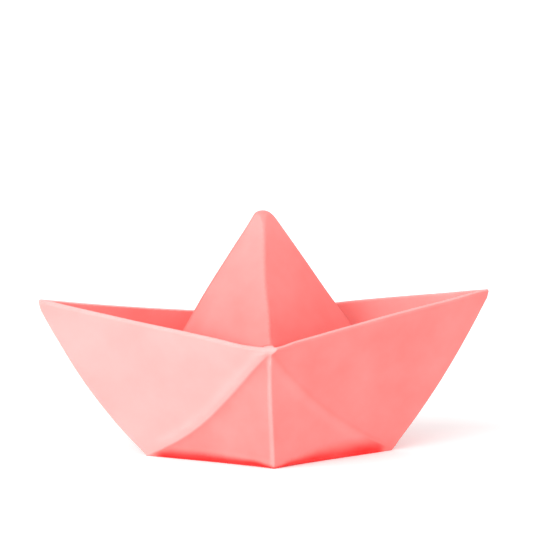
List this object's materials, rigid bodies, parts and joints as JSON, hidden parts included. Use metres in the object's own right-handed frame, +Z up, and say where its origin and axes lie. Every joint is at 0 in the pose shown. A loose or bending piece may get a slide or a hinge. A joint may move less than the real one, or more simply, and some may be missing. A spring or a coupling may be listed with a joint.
{
  "type": "rubber toy boat",
  "caption": "Soft one-piece bath toy in the form of a folded paper boat: a pointed hull with open wells around a pyramid sail, which sits flat on its kite-shaped sole.",
  "frame": {"origin": "centre of the flat sole, on the floor, below the middle of the hull's length", "axes": "+X from the bow to the stern, +Y to the far side of the hull, +Z up along the sail"},
  "size_m": [0.1601, 0.0782, 0.0873],
  "materials": {
    "rubber": "matte"
  },
  "bodies": {
    "root": {"boat": "rubber"}
  },
  "joints": []
}
